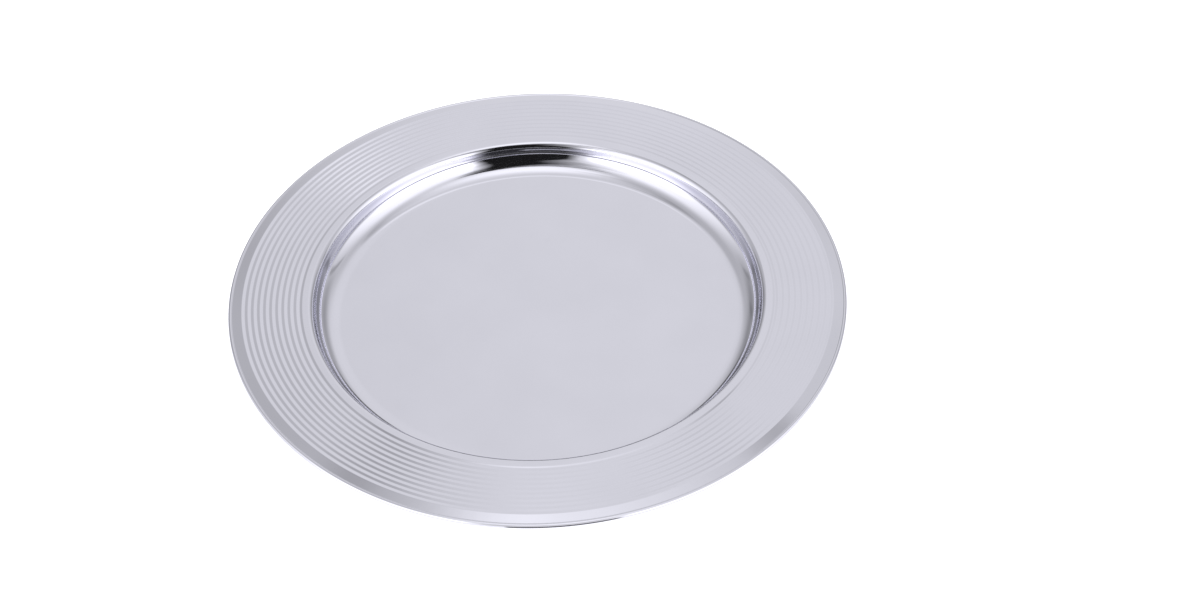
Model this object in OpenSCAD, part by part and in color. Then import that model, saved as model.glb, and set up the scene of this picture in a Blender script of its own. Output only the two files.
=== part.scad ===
// Charger plate: a round, mirror-bright service plate that a dinner plate stands on.
//
// One sheet-metal disc is pressed into a shallow flat-bottomed well and a wide,
// almost level rim. The floor rises gently into the cove, and the cove into a
// steep wall with a tight shoulder. The rim carries evenly spaced, shallow
// concentric grooves between two plain bands. Its outermost band dips a little,
// meets a fine valley, and then rolls over and under into a round bead that
// closes on a stiffening wire.
//
// Origin: centre of the underside. +Z up, through the centre of the plate.
// All sizes in millimetres.

/* [Plate] */
// Outside diameter, over the rolled edge
plate_d = 330; // [300:1:360]
// Thickness of the pressed sheet
sheet_t = 0.5; // [0.4:0.1:0.6]

/* [Well] */
// Depth of the well, from the level part of the rim down to its floor
well_depth = 13.4; // [10:0.1:16]
// Radius of the gentle curve that leads from the flat floor into the cove
ease_r = 34; // [15:1:40]
// Slope at which that gentle curve hands over to the cove
ease_slope = 6; // [1:0.5:8]
// Slope of the wall at its steepest, measured from level
wall_slope = 81; // [72:1:84]
// Straight part of the wall between its two curves
wall_flat = 1.1; // [0:0.1:2]
// Radius of the shoulder where the wall turns over into the rim
shoulder_r = 3.2; // [2:0.1:4]

/* [Rim] */
// Width of the rim, from the end of the shoulder to the outside of the plate
rim_w = 42.6; // [41:0.1:48]
// Plain level band between the shoulder and the first groove
inner_band = 2.78; // [2:0.01:4]
// Plain sloping band between the last groove and the outside of the plate
outer_band = 7.46; // [6.5:0.01:8.5]
// How far that outer band slopes down, in degrees from level
outer_tilt = 12; // [9:0.5:13]
// Number of concentric grooves
groove_count = 10; // [6:1:11]
// Depth of each groove, from crest to trough
groove_depth = 0.15; // [0.1:0.05:0.3]
// How far the crests lie below the plain inner band
groove_drop = 0.08; // [0:0.01:0.1]
// How round the grooves are: at 1 they are all curve, below 1 their flanks have a straight part
groove_round = 0.8; // [0.7:0.05:1]
// Radius of the edge between the last groove and the outer band
crest_r = 1.7; // [1:0.1:2.5]

/* [Rolled edge] */
// Outside radius of the round bead
bead_r = 1.3; // [1.2:0.05:1.4]
// How far the bead's top stands above the outer band, measured square to the band
bead_rise = 0.44; // [0.35:0.01:0.6]
// Radius of the fine valley between the outer band and the bead
valley_r = 0.5; // [0.4:0.05:0.7]
// Gap left between the end of the curl and the underside of the band above it
curl_gap = 0.22; // [0.1:0.01:0.3]
// Radial clearance between the wire and the sheet rolled round it
wire_gap = 0.02; // [0.02:0.01:0.05]

/* [Show] */
// Piece to show

/* [Hidden] */
$fn = 180;

// Colours of the two pieces
bright_silver = [0.60, 0.60, 0.64];
wire_grey = [0.55, 0.56, 0.58];

// Well: a floor, a gentle rise, a concave cove, a short straight wall and a
// convex shoulder, each leaving at the slope at which the one before it ends
plate_r = plate_d / 2;
floor_z = sheet_t;
rim_z = floor_z + well_depth;
ease_h = ease_r * (1 - cos(ease_slope));
cove_r = (well_depth - ease_h - wall_flat * sin(wall_slope) - shoulder_r * (1 - cos(wall_slope)))
    / (cos(ease_slope) - cos(wall_slope));
shoulder_x = plate_r - rim_w;
shoulder_c = [shoulder_x, rim_z - shoulder_r];
floor_r = shoulder_x - shoulder_r * sin(wall_slope) - wall_flat * cos(wall_slope)
    - cove_r * (sin(wall_slope) - sin(ease_slope)) - ease_r * sin(ease_slope);
ease_c = [floor_r, floor_z + ease_r];
cove_c = ease_c + (ease_r - cove_r) * [sin(ease_slope), -cos(ease_slope)];

// Grooves: convex crests and concave troughs of one radius, joined by straight
// flanks that touch both. The first flank falls further, from the inner band
groove_x0 = shoulder_x + inner_band;
groove_x1 = plate_r - outer_band;
pitch = (groove_x1 - groove_x0) / groove_count;
groove_z = rim_z - groove_drop;
first_fall = groove_depth + groove_drop;
groove_r = groove_round * (pow(pitch / 2, 2) + pow(first_fall, 2)) / (4 * first_fall);
function flank(fall) = atan2(pitch / 2, 2 * groove_r - fall)
    - acos(2 * groove_r / norm([pitch / 2, 2 * groove_r - fall]));

// Outer band: a line that leaves the last crest at outer_tilt and is joined to
// the bead by an arc that touches both of them
last_crest_c = [groove_x1, groove_z - crest_r];
dir = [cos(outer_tilt), -sin(outer_tilt)];
up = [sin(outer_tilt), cos(outer_tilt)];
band_p = last_crest_c + crest_r * up;
// The bead's centre lies this far below that line, square to it
below = bead_r - bead_rise;
bead_x = plate_r - bead_r;
bead_c = [bead_x, band_p[1] - (below + (bead_x - band_p[0]) * up[0]) / up[1]];
// Foot of the bead's centre on the line
foot = bead_c + below * up;
// Where the joining arc touches the line, its centre and its slope at the bead
back = sqrt(pow(bead_r + valley_r, 2) - pow(below + valley_r, 2));
valley_c = foot - back * dir + valley_r * up;
rise = acos((below + valley_r) / (bead_r + valley_r)) - outer_tilt;

// Direction from the bead's centre to the end of the curl, turning clockwise
curl_end = acos((below - sheet_t - curl_gap) / bead_r) - outer_tilt - 270;

wire_r = bead_r - sheet_t - wire_gap;

// Points of an arc about c, from angle a0 to a1, in n steps
function arc(c, r, a0, a1, n) =
    [for (i = [0:n]) let (a = a0 + (a1 - a0) * i / n) c + r * [cos(a), sin(a)]];

// One groove, crest to crest, on the skin that lies d below the top of the sheet
function groove(k, d) =
    let (x = groove_x0 + k * pitch, top = k == 0 ? rim_z : groove_z,
        a = flank(top - groove_z + groove_depth), b = flank(groove_depth))
    concat(
        arc([x, top - groove_r], groove_r - d, 90, 90 - a, 2),
        arc([x + pitch / 2, groove_z - groove_depth + groove_r], groove_r + d, -90 - a, -90 + b, 4),
        arc([x + pitch, groove_z - groove_r], groove_r - d, 90 + b, 90, 2));

// One whole skin of the sheet, from the axis to the end of the curl: the top
// skin at d = 0, the underside at d = sheet_t
function skin(d) = concat(
    [[0, floor_z - d]],
    arc(ease_c, ease_r + d, -90, ease_slope - 90, 3),
    arc(cove_c, cove_r + d, ease_slope - 90, wall_slope - 90, 18),
    arc(shoulder_c, shoulder_r - d, 90 + wall_slope, 90, 9),
    [for (k = [0:groove_count - 1]) each groove(k, d)],
    arc(last_crest_c, crest_r - d, 90, 90 - outer_tilt, 2),
    arc(valley_c, valley_r + d, -90 - outer_tilt, rise - 90, 5),
    arc(bead_c, bead_r - d, 90 + rise, curl_end, 28));

// A path without the points that repeat the one before them
function tidy(p) = [for (i = [0:len(p) - 1]) if (i == 0 || norm(p[i] - p[i - 1]) > 0.001) p[i]];
function reversed(p) = [for (i = [len(p) - 1:-1:0]) p[i]];

module plate_shell() {
    color(bright_silver)
        rotate_extrude()
            polygon(concat(tidy(skin(0)), reversed(tidy(skin(sheet_t)))));
}

module edge_wire() {
    color(wire_grey)
        rotate_extrude()
            translate(bead_c)
                circle(r = wire_r);
}

plate_shell();
edge_wire();
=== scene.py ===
import math

import bpy
import numpy as np
from mathutils import Matrix, Vector


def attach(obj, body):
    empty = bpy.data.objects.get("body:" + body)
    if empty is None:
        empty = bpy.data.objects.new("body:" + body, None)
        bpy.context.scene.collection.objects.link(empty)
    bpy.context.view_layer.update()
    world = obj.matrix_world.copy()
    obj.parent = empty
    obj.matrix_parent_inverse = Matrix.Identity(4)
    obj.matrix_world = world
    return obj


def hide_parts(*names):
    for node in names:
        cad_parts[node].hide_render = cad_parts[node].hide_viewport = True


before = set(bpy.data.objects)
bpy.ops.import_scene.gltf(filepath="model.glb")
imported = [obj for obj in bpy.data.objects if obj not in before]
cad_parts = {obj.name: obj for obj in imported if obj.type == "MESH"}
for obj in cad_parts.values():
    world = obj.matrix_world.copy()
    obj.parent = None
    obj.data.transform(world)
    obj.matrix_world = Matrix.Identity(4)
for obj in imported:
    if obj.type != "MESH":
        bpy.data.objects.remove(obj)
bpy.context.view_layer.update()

MM = 0.001

# ---------------------------------------------------------------- the plate's section, as in the construction model
# Radii and heights in millimetres, z = 0 at the underside of the floor.
PLATE_R = 165.0
SHEET = 0.5
WELL_DEPTH = 13.4
EASE_R = 34.0
EASE_SLOPE = 6.0
WALL_SLOPE = 81.0
WALL_FLAT = 1.1
SHOULDER_R = 3.2
RIM_W = 42.6
INNER_BAND = 2.78
OUTER_BAND = 7.46
OUTER_TILT = 12.0
GROOVES = 10
GROOVE_DEPTH = 0.15
GROOVE_DROP = 0.08
GROOVE_ROUND = 0.8
CREST_R = 1.7
BEAD_R = 1.3
BEAD_RISE = 0.44
VALLEY_R = 0.5
CURL_GAP = 0.22


def sin(a):
    return math.sin(math.radians(a))


def cos(a):
    return math.cos(math.radians(a))


RIM_Z = SHEET + WELL_DEPTH
EASE_H = EASE_R * (1 - cos(EASE_SLOPE))
COVE_R = (WELL_DEPTH - EASE_H - WALL_FLAT * sin(WALL_SLOPE) - SHOULDER_R * (1 - cos(WALL_SLOPE))) / (
    cos(EASE_SLOPE) - cos(WALL_SLOPE))
SHOULDER_X = PLATE_R - RIM_W
FLOOR_R = (SHOULDER_X - SHOULDER_R * sin(WALL_SLOPE) - WALL_FLAT * cos(WALL_SLOPE)
           - COVE_R * (sin(WALL_SLOPE) - sin(EASE_SLOPE)) - EASE_R * sin(EASE_SLOPE))
EASE = (FLOOR_R, SHEET + EASE_R)
COVE = (EASE[0] + (EASE_R - COVE_R) * sin(EASE_SLOPE), EASE[1] - (EASE_R - COVE_R) * cos(EASE_SLOPE))
GROOVE_X0 = SHOULDER_X + INNER_BAND
GROOVE_X1 = PLATE_R - OUTER_BAND
PITCH = (GROOVE_X1 - GROOVE_X0) / GROOVES
GROOVE_Z = RIM_Z - GROOVE_DROP
FIRST_FALL = GROOVE_DEPTH + GROOVE_DROP
GROOVE_R = GROOVE_ROUND * ((PITCH / 2) ** 2 + FIRST_FALL ** 2) / (4 * FIRST_FALL)

UP = (sin(OUTER_TILT), cos(OUTER_TILT))
ALONG = (cos(OUTER_TILT), -sin(OUTER_TILT))
LAST_CREST = (GROOVE_X1, GROOVE_Z - CREST_R)
BAND_P = (LAST_CREST[0] + CREST_R * UP[0], LAST_CREST[1] + CREST_R * UP[1])
BELOW = BEAD_R - BEAD_RISE
BEAD_X = PLATE_R - BEAD_R
BEAD = (BEAD_X, BAND_P[1] - (BELOW + (BEAD_X - BAND_P[0]) * UP[0]) / UP[1])
FOOT = (BEAD[0] + BELOW * UP[0], BEAD[1] + BELOW * UP[1])
BACK = math.sqrt((BEAD_R + VALLEY_R) ** 2 - (BELOW + VALLEY_R) ** 2)
VALLEY = (FOOT[0] - BACK * ALONG[0] + VALLEY_R * UP[0], FOOT[1] - BACK * ALONG[1] + VALLEY_R * UP[1])
RISE = math.degrees(math.acos((BELOW + VALLEY_R) / (BEAD_R + VALLEY_R))) - OUTER_TILT
CURL_END = math.degrees(math.acos((BELOW - SHEET - CURL_GAP) / BEAD_R)) - OUTER_TILT - 270


def flank(fall):
    """Slope of the straight flank between a crest and a trough that lies this much lower."""
    return math.degrees(math.atan2(PITCH / 2, 2 * GROOVE_R - fall)
                        - math.acos(2 * GROOVE_R / math.hypot(PITCH / 2, 2 * GROOVE_R - fall)))


def arc(c, r, a0, a1, n, convex):
    """Points (r, z, normal_r, normal_z) of an arc; the normal points out of the metal on the top skin."""
    out = []
    for i in range(n + 1):
        a = a0 + (a1 - a0) * i / n
        k = 1 if convex else -1
        out.append((c[0] + r * cos(a), c[1] + r * sin(a), k * cos(a), k * sin(a)))
    return out


def skin(d, fine):
    """One skin of the sheet from the axis to the end of the curl; d = 0 is the top, d = SHEET the underside."""
    f = (lambda n: n) if fine else (lambda n: max(2, (n + 1) // 2))
    pts = [(r, SHEET - d, 0.0, 1.0) for r in (0.0, 8.0, 22.0, 42.0, 62.0, 80.0, 94.0)]
    pts += arc(EASE, EASE_R + d, -90, EASE_SLOPE - 90, f(5), False)
    pts += arc(COVE, COVE_R + d, EASE_SLOPE - 90, WALL_SLOPE - 90, f(30), False)
    pts += arc((SHOULDER_X, RIM_Z - SHOULDER_R), SHOULDER_R - d, 90 + WALL_SLOPE, 90, f(18), True)
    for k in range(GROOVES):
        x = GROOVE_X0 + k * PITCH
        top = RIM_Z if k == 0 else GROOVE_Z
        a, b = flank(top - GROOVE_Z + GROOVE_DEPTH), flank(GROOVE_DEPTH)
        pts += arc((x, top - GROOVE_R), GROOVE_R - d, 90, 90 - a, f(2), True)
        pts += arc((x + PITCH / 2, GROOVE_Z - GROOVE_DEPTH + GROOVE_R), GROOVE_R + d, -90 - a, -90 + b, f(4), False)
        pts += arc((x + PITCH, GROOVE_Z - GROOVE_R), GROOVE_R - d, 90 + b, 90, f(2), True)
    pts += arc(LAST_CREST, CREST_R - d, 90, 90 - OUTER_TILT, f(4), True)
    pts += arc(VALLEY, VALLEY_R + d, -90 - OUTER_TILT, RISE - 90, f(7), False)
    pts += arc(BEAD, BEAD_R - d, 90 + RISE, CURL_END, f(42), True)
    out = [pts[0]]
    for p in pts[1:]:
        if math.hypot(p[0] - out[-1][0], p[1] - out[-1][1]) > 1e-4:
            out.append(p)
    return out


def build_shell(name, around=264):
    """The whole sheet as one closed mesh of revolution, with the section's own normals on every corner."""
    top = skin(0.0, True)
    under = [(r, z, -nr, -nz) for r, z, nr, nz in skin(SHEET, False)][::-1]
    ring = top + under
    n_top = len(top)
    rs = [p[0] for p in ring]
    # vertices: one at each pole, a ring of them elsewhere
    verts, first = [], []
    ang = [2 * math.pi * j / around for j in range(around)]
    ca, sa = np.cos(ang), np.sin(ang)
    for r, z, _, _ in ring:
        first.append(len(verts))
        if r < 1e-9:
            verts.append((0.0, 0.0, z * MM))
        else:
            verts += [(r * MM * c, r * MM * s, z * MM) for c, s in zip(ca, sa)]
    faces, normals, mats = [], [], []
    lip = n_top - 1  # the segment across the end of the sheet
    # direction of the flat end of the curl
    er, ez = ring[lip + 1][0] - ring[lip][0], ring[lip + 1][1] - ring[lip][1]
    ln = math.hypot(er, ez)
    end_n = (-ez / ln, er / ln)
    tangent = (sin(CURL_END), -cos(CURL_END))  # the way the curl is travelling when it ends
    if end_n[0] * tangent[0] + end_n[1] * tangent[1] < 0:
        end_n = (-end_n[0], -end_n[1])
    for i in range(len(ring) - 1):
        a, b = ring[i], ring[i + 1]
        na, nb = (a[2], a[3]), (b[2], b[3])
        if i == lip:
            na = nb = end_n
        pole_a, pole_b = rs[i] < 1e-9, rs[i + 1] < 1e-9
        m = 0 if i <= lip else 1
        for j in range(around):
            k = (j + 1) % around
            if pole_a:
                f = (first[i], first[i + 1] + j, first[i + 1] + k)
                nn = [(na, j), (nb, j), (nb, k)]
            elif pole_b:
                f = (first[i] + j, first[i + 1], first[i] + k)
                nn = [(na, j), (nb, j), (na, k)]
            else:
                f = (first[i] + j, first[i + 1] + j, first[i + 1] + k, first[i] + k)
                nn = [(na, j), (nb, j), (nb, k), (na, k)]
            faces.append(f)
            mats.append(m)
            normals += [(n[0] * ca[q], n[0] * sa[q], n[1]) for n, q in nn]
    mesh = bpy.data.meshes.new(name)
    mesh.from_pydata(verts, [], faces)
    mesh.polygons.foreach_set("material_index", mats)
    mesh.polygons.foreach_set("use_smooth", [True] * len(faces))
    mesh.update()
    mesh.normals_split_custom_set(normals)
    obj = bpy.data.objects.new(name, mesh)
    bpy.context.scene.collection.objects.link(obj)
    return obj


# ---------------------------------------------------------------- node helpers
class Net:
    """Small helper that adds nodes and wires them."""

    def __init__(self, tree):
        self.t = tree
        tree.nodes.clear()

    def add(self, kind, **props):
        n = self.t.nodes.new(kind)
        for k, v in props.items():
            setattr(n, k, v)
        return n

    def link(self, a, b):
        self.t.links.new(a, b)

    def put(self, sock, v):
        if isinstance(v, (int, float, tuple, list)):
            sock.default_value = v
        else:
            self.link(v, sock)

    def math(self, op, a, b=0.0, clamp=False):
        n = self.add("ShaderNodeMath", operation=op, use_clamp=clamp)
        self.put(n.inputs[0], a)
        self.put(n.inputs[1], b)
        return n.outputs[0]

    def step(self, x, lo, hi, a=0.0, b=1.0):
        """a below lo, b above hi, a smooth step between."""
        n = self.add("ShaderNodeMapRange", interpolation_type="SMOOTHSTEP")
        self.put(n.inputs["Value"], x)
        n.inputs["From Min"].default_value = lo
        n.inputs["From Max"].default_value = hi
        n.inputs["To Min"].default_value = a
        n.inputs["To Max"].default_value = b
        return n.outputs["Result"]

    def mix(self, f, a, b):
        """a + f (b - a) on numbers."""
        n = self.add("ShaderNodeMix", data_type="FLOAT")
        self.put(n.inputs["Factor"], f)
        self.put(n.inputs["A"], a)
        self.put(n.inputs["B"], b)
        return n.outputs["Result"]


# ---------------------------------------------------------------- materials
def bright_metal(name, tint, rough, ripple, under):
    m = bpy.data.materials.new(name)
    m.use_nodes = True
    g = Net(m.node_tree)
    out = g.add("ShaderNodeOutputMaterial")
    bsdf = g.add("ShaderNodeBsdfPrincipled")
    bsdf.inputs["Metallic"].default_value = 1.0
    g.link(bsdf.outputs["BSDF"], out.inputs["Surface"])
    co = g.add("ShaderNodeTexCoord").outputs["Object"]

    # colour: two close tones of the same metal, drifting slowly over the plate
    drift = g.add("ShaderNodeTexNoise")
    drift.inputs["Scale"].default_value = 22.0
    drift.inputs["Detail"].default_value = 2.0
    g.link(co, drift.inputs["Vector"])
    ramp = g.add("ShaderNodeValToRGB")
    ramp.color_ramp.elements[0].position = 0.3
    ramp.color_ramp.elements[1].position = 0.7
    ramp.color_ramp.elements[0].color = (tint[0] * 0.985, tint[1] * 0.985, tint[2] * 0.985, 1)
    ramp.color_ramp.elements[1].color = (tint[0] * 1.015, tint[1] * 1.015, tint[2] * 1.015, 1)
    g.link(drift.outputs["Fac"], ramp.inputs["Fac"])
    g.link(ramp.outputs["Color"], bsdf.inputs["Base Color"])

    # gloss: polished, with faint cloudy patches
    cloud = g.add("ShaderNodeTexNoise")
    cloud.inputs["Scale"].default_value = 60.0
    cloud.inputs["Detail"].default_value = 4.0
    g.link(co, cloud.inputs["Vector"])
    r = g.step(cloud.outputs["Fac"], 0.3, 0.75, rough[0], rough[1])
    g.link(r, bsdf.inputs["Roughness"])

    # relief: the soft unevenness that pressed sheet keeps after polishing
    orange = g.add("ShaderNodeTexNoise")
    orange.inputs["Scale"].default_value = 150.0
    orange.inputs["Detail"].default_value = 1.5
    g.link(co, orange.inputs["Vector"])
    bump = g.add("ShaderNodeBump")
    bump.inputs["Strength"].default_value = 1.0
    bump.inputs["Distance"].default_value = ripple
    g.link(orange.outputs["Fac"], bump.inputs["Height"])
    g.link(bump.outputs["Normal"], bsdf.inputs["Normal"])
    return m


def steel_wire(name):
    m = bpy.data.materials.new(name)
    m.use_nodes = True
    g = Net(m.node_tree)
    out = g.add("ShaderNodeOutputMaterial")
    bsdf = g.add("ShaderNodeBsdfPrincipled")
    bsdf.inputs["Metallic"].default_value = 1.0
    g.link(bsdf.outputs["BSDF"], out.inputs["Surface"])
    co = g.add("ShaderNodeTexCoord").outputs["Object"]
    n = g.add("ShaderNodeTexNoise")
    n.inputs["Scale"].default_value = 900.0
    n.inputs["Detail"].default_value = 3.0
    g.link(co, n.inputs["Vector"])
    ramp = g.add("ShaderNodeValToRGB")
    ramp.color_ramp.elements[0].color = (0.42, 0.42, 0.44, 1)
    ramp.color_ramp.elements[1].color = (0.56, 0.56, 0.58, 1)
    g.link(n.outputs["Fac"], ramp.inputs["Fac"])
    g.link(ramp.outputs["Color"], bsdf.inputs["Base Color"])
    g.link(g.step(n.outputs["Fac"], 0.3, 0.7, 0.28, 0.42), bsdf.inputs["Roughness"])
    bump = g.add("ShaderNodeBump")
    bump.inputs["Strength"].default_value = 0.5
    bump.inputs["Distance"].default_value = 0.00002
    g.link(n.outputs["Fac"], bump.inputs["Height"])
    g.link(bump.outputs["Normal"], bsdf.inputs["Normal"])
    return m


SILVER = (0.600, 0.598, 0.667)
mat_top = bright_metal("bright_silver_top", SILVER, (0.035, 0.06), 0.000012, False)
mat_under = bright_metal("bright_silver_underside", SILVER, (0.14, 0.22), 0.00003, True)

plate = build_shell("plate_body")
plate.data.materials.append(mat_top)
plate.data.materials.append(mat_under)
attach(plate, "root")
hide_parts("plate_shell")

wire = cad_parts["edge_wire"]
mat_wire = steel_wire("drawn_steel")
for o in (wire if isinstance(wire, (list, tuple)) else [wire]):
    for s in o.material_slots:
        s.material = mat_wire

# ---------------------------------------------------------------- floor: a white table lit from all round, seen through from below
def one_sided(g, front):
    """The front shader on the side that the faces point to, nothing on the other side."""
    out = g.add("ShaderNodeOutputMaterial")
    clear = g.add("ShaderNodeBsdfTransparent")
    pick = g.add("ShaderNodeMixShader")
    g.link(g.add("ShaderNodeNewGeometry").outputs["Backfacing"], pick.inputs["Fac"])
    g.link(front, pick.inputs[1])
    g.link(clear.outputs["BSDF"], pick.inputs[2])
    g.link(pick.outputs["Shader"], out.inputs["Surface"])


bpy.ops.mesh.primitive_plane_add(size=30.0, location=(0, 0, -0.0001))
floor = bpy.context.active_object
floor.name = "floor"
fm = bpy.data.materials.new("pale_floor")
fm.use_nodes = True
g = Net(fm.node_tree)
dif = g.add("ShaderNodeBsdfDiffuse")
dif.inputs["Color"].default_value = (0.5, 0.5, 0.5, 1)
glow = g.add("ShaderNodeEmission")
glow.inputs["Color"].default_value = (1, 1, 1, 1)
glow.inputs["Strength"].default_value = 0.92
both = g.add("ShaderNodeAddShader")
g.link(dif.outputs["BSDF"], both.inputs[0])
g.link(glow.outputs["Emission"], both.inputs[1])
one_sided(g, both.outputs["Shader"])
floor.data.materials.append(fm)


# ---------------------------------------------------------------- black flags: they darken one patch of the far wall and of the near bead
def flag(name, y, level, rows):
    """An upright dark card that faces +Y (rows of z, left edge, right edge, softness left and right; millimetres)."""
    verts, faces, cover, turn = [], [], [], []
    for z, x0, x1, s0, s1 in rows:
        for x, c in ((x0 - s0, 0.0), (x0, 1.0), ((x0 + x1) / 2, 1.0), (x1, 1.0), (x1 + s1, 0.0)):
            verts.append((x * MM, y * MM, z * MM))
            cover.append(c)
            turn.append(1 - cos(math.degrees(math.atan2(z - 8.0, 38.0))) * cos(2.4 * x))
    for i in range(len(rows) - 1):
        for j in range(4):
            a = 5 * i + j
            faces.append((a + 1, a, a + 5, a + 6))
    mesh = bpy.data.meshes.new(name)
    mesh.from_pydata(verts, [], faces)
    att = mesh.attributes.new("cover", "FLOAT", "POINT")
    att.data.foreach_set("value", cover)
    att = mesh.attributes.new("turn", "FLOAT", "POINT")
    att.data.foreach_set("value", turn)
    mesh.update()
    obj = bpy.data.objects.new(name, mesh)
    bpy.context.scene.collection.objects.link(obj)
    m = bpy.data.materials.new(name)
    m.use_nodes = True
    g = Net(m.node_tree)
    black = g.add("ShaderNodeEmission")
    black.inputs["Strength"].default_value = level
    clear = g.add("ShaderNodeBsdfTransparent")
    soft = g.add("ShaderNodeMixShader")
    fac = g.add("ShaderNodeAttribute", attribute_name="cover").outputs["Fac"]
    if y > 0:
        # louvred: it only shows from about the angle at which the far wall looks at it
        facing = g.add("ShaderNodeLayerWeight")
        facing.inputs["Blend"].default_value = 0.5
        aim = g.add("ShaderNodeAttribute", attribute_name="turn").outputs["Fac"]
        miss = g.math("ABSOLUTE", g.math("SUBTRACT", facing.outputs["Facing"], aim))
        fac = g.math("MULTIPLY", fac, g.step(miss, 0.10, 0.15, 1.0, 0.0))
    g.link(fac, soft.inputs["Fac"])
    g.link(clear.outputs["BSDF"], soft.inputs[1])
    g.link(black.outputs["Emission"], soft.inputs[2])
    one_sided(g, soft.outputs["Shader"])
    obj.data.materials.append(m)
    obj.visible_camera = obj.visible_diffuse = obj.visible_shadow = obj.visible_transmission = False
    return obj


flag("flag_far_foot", 80.0, 0.08, [(0.6, -9.5, 8.5, 13, 13), (6.6, -9.5, 8.5, 13, 13)])
flag("flag_far", 80.0, 0.014, [
    (8.7, -12.5, 9.5, 4, 3.5), (14, -12.3, 9.5, 4.3, 3.5), (18, -11.5, 9.2, 4.5, 3.2), (22, -11, 9, 4.5, 3.2), (26, -10.5, 8, 5, 4.5),
    (30, -9.5, 6, 5, 6), (34, -9, 3.5, 5, 9), (38, -8.5, 1, 5, 14), (50, -8, 1.5, 5, 12.5), (62, -7, 2.5, 6.5, 10),
    (70, -5.5, 0, 8, 12), (78, -4.5, -2, 7, 12), (86, -4.5, -2.5, 4.5, 10), (94, -3, -2.5, 4, 6), (106, -2.5, -1.5, 3.5, 4),
    (122, -1.5, -0.5, 4, 5)])
flag("flag_far_shade", 79.0, 0.95, [(8, -1, 9, 2, 11), (34, -1, 9, 2, 11), (42, -1, 11, 2, 11), (56, -1, 10, 2, 9)])
flag("flag_far_baffle", 70.0, 0.06, [(9.8, -7, 4.5, 3, 3), (15.5, -7, 4.5, 3, 3)])
flag("flag_near", -175.0, 0.05, [(0, -22, 40, 3, 5), (12.5, -22, 40, 3, 5)])

# ---------------------------------------------------------------- studio light: a pale room with two large softboxes in front, one overhead
world = bpy.data.worlds.new("studio")
bpy.context.scene.world = world
world.use_nodes = True
g = Net(world.node_tree)
out = g.add("ShaderNodeOutputWorld")
bg = g.add("ShaderNodeBackground")
g.link(bg.outputs["Background"], out.inputs["Surface"])
co = g.add("ShaderNodeTexCoord").outputs["Generated"]
sep = g.add("ShaderNodeSeparateXYZ")
g.link(co, sep.inputs[0])
X, Y, Z = sep.outputs
# bearing from the back of the room, in degrees: 0 behind the plate, +-180 at the camera
az = g.math("MULTIPLY", g.math("ARCTAN2", X, Y), 180 / math.pi)
aaz = g.math("ABSOLUTE", az)
el = g.math("MULTIPLY", g.math("ARCSINE", Z), 180 / math.pi)
right = g.step(az, -9.0, 9.0)


def less(v):
    return g.math("SUBTRACT", 1.0, v)


def times(a, b):
    return g.math("MULTIPLY", a, b)


def both_ways(x, a0, a1, b0, b1):
    """1 between a1 and b0, fading to 0 at a0 and at b1."""
    return times(g.step(x, a0, a1), less(g.step(x, b0, b1)))


def ridge(x, below, above):
    """1 where x is 0, fading to 0 at -below and at +above."""
    return times(g.step(x, -below, 0.0), less(g.step(x, 0.0, above)))


# back wall: brightest straight behind, falling off quickly to the left and slowly to the right
wall_l = g.step(az, -27.0, 2.0, 0.70, 1.045)
wall_r = g.math("ADD", g.step(az, 14.0, 52.0, 1.03, 0.80), g.step(az, 4.5, 10.0, 0.05, 0.0))
back = g.math("MINIMUM", wall_l, wall_r)
# it is darker in a band above the table
sag = times(less(g.step(el, 17.0, 39.0)), g.step(el, 3.0, 16.0, 0.55, 1.0))
dip = times(both_ways(el, 0.5, 3.0, 11.0, 15.5), times(less(g.step(aaz, 18.0, 34.0)), 0.75))
back = times(times(back, less(times(sag, times(both_ways(aaz, 12.0, 30.0, 40.0, 76.0), 0.41)))), less(dip))
# softboxes to the left and right of the camera, weaker towards their top edge
side = g.mix(right, g.step(aaz, 40.0, 112.0), g.step(aaz, 52.0, 104.0))
soft = g.step(el, 44.0, 70.0, 1.65, 0.92)
low = g.mix(side, back, soft)
# narrow gaps where wall and softbox meet
for sign, bearing, e0, e1, deep in ((1, 63.0, 30, 40, 0.35), (-1, 51.5, 22, 32, 0.25), (-1, 37.0, 20, 28, 0.25)):
    off = g.math("SUBTRACT", times(az, sign), g.math("ADD", bearing, times(g.math("SUBTRACT", 20.0, el), 0.08)))
    low = times(low, less(times(ridge(off, 4.0, 4.0), times(both_ways(el, 7.0, 11.0, e0, e1), deep))))
# their lower halves burn brightest, far round beside the camera
glare = times(less(g.step(el, 22.0, 36.0)), g.step(aaz, 94.0, 118.0))
low = times(low, g.math("ADD", 1.0, times(glare, 0.55)))
# straight behind the camera the room shows between them
between = times(g.step(aaz, 148.0, 162.0), less(g.step(el, 52.0, 68.0)))
low = g.mix(between, low, 0.95)
# the softboxes end a little above the table
foot = times(less(g.step(el, 0.0, 13.0)), both_ways(aaz, 62.0, 80.0, 94.0, 112.0))
low = times(low, less(times(foot, 0.64)))
# overhead light, reaching down furthest straight behind
t_l = g.math("SUBTRACT", el, g.math("ADD", 52.0, times(aaz, 0.26)))
over_l = times(g.step(t_l, 2.0, 20.0), less(g.step(aaz, 60.0, 95.0)))
over = g.mix(right, over_l, g.step(el, 57.0, 81.0))
over = g.math("MAXIMUM", over, times(g.step(aaz, 40.0, 70.0), g.step(el, 69.0, 80.0)))
high = g.step(el, 64.0, 90.0, 1.33, 1.60)
val = g.mix(over, low, high)
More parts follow.
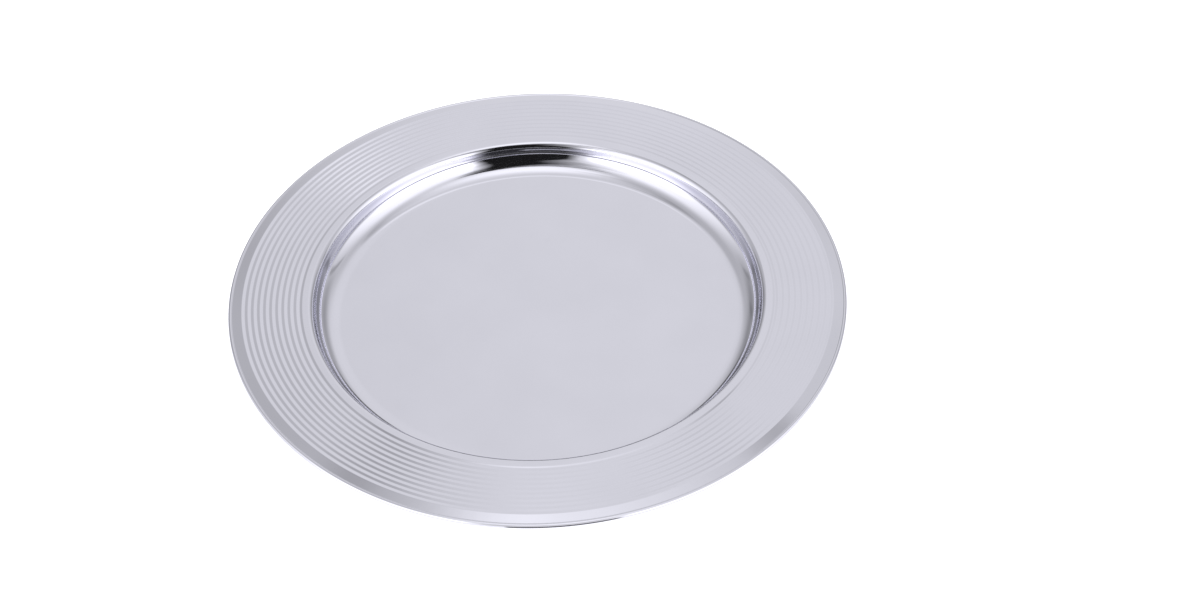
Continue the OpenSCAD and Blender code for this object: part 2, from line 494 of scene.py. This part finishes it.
# the slot between the wall and the overhead light
slot_l = times(ridge(t_l, 5.0, 4.5), g.math("MINIMUM", g.step(aaz, 2.0, 10.0, 0.0, 0.26), g.step(aaz, 24.0, 48.0, 0.26, 0.0)))
slot_c = times(times(ridge(g.math("SUBTRACT", el, 55.0), 3.5, 4.5), less(g.step(aaz, 6.0, 16.0))), 0.05)
t_r = g.math("SUBTRACT", el, 56.0)
slot_r = times(ridge(t_r, 4.0, 6.0), times(both_ways(aaz, 3.0, 30.0, 36.0, 64.0), 0.26))
val = times(val, times(less(g.mix(right, slot_l, slot_r)), less(slot_c)))
# a narrow lit strip at the top of the wall
t_s = g.math("SUBTRACT", el, g.math("ADD", 49.6, times(az, 0.28)))
strip = times(ridge(t_s, 2.2, 2.2), both_ways(az, -6.0, -1.0, 5.0, 13.0))
val = g.math("ADD", val, times(strip, 0.26))
# below the horizon: the table's own paleness
val = g.mix(g.step(el, -4.0, 0.0), 0.9, val)
g.link(val, bg.inputs["Strength"])
bg.inputs["Color"].default_value = (1, 1, 1, 1)

# ---------------------------------------------------------------- camera
F_PX, DIST, ELEV, YAW, PITCHC, ROLL = 3183.571, 1.7, 0.7725099731, -0.0196003256, -0.0013126367, 0.0447371618
SIL_Z = BEAD[1] * MM
C = Vector((0, -DIST * math.cos(ELEV), DIST * math.sin(ELEV)))
Fw = (-C).normalized()
Xr = Vector((1, 0, 0))
Uv = Xr.cross(Fw)


def turn(v, k, a):
    return Matrix.Rotation(a, 3, k) @ v


Fw, Xr = turn(Fw, Uv, YAW), turn(Xr, Uv, YAW)
Fw, Uv = turn(Fw, Xr, PITCHC), turn(Uv, Xr, PITCHC)
Xr, Uv = turn(Xr, Fw, ROLL), turn(Uv, Fw, ROLL)
cam_data = bpy.data.cameras.new("camera")
cam_data.sensor_width = 36.0
cam_data.lens = F_PX / 1200 * 36.0
cam_data.clip_start, cam_data.clip_end = 0.05, 100
cam = bpy.data.objects.new("camera", cam_data)
bpy.context.scene.collection.objects.link(cam)
pos = C + Vector((0, 0, SIL_Z))
cam.matrix_world = Matrix((
    (Xr.x, Uv.x, -Fw.x, pos.x),
    (Xr.y, Uv.y, -Fw.y, pos.y),
    (Xr.z, Uv.z, -Fw.z, pos.z),
    (0, 0, 0, 1),
))
bpy.context.scene.camera = cam

vs = bpy.context.scene.view_settings
vs.view_transform = "Standard"
vs.look = "None"
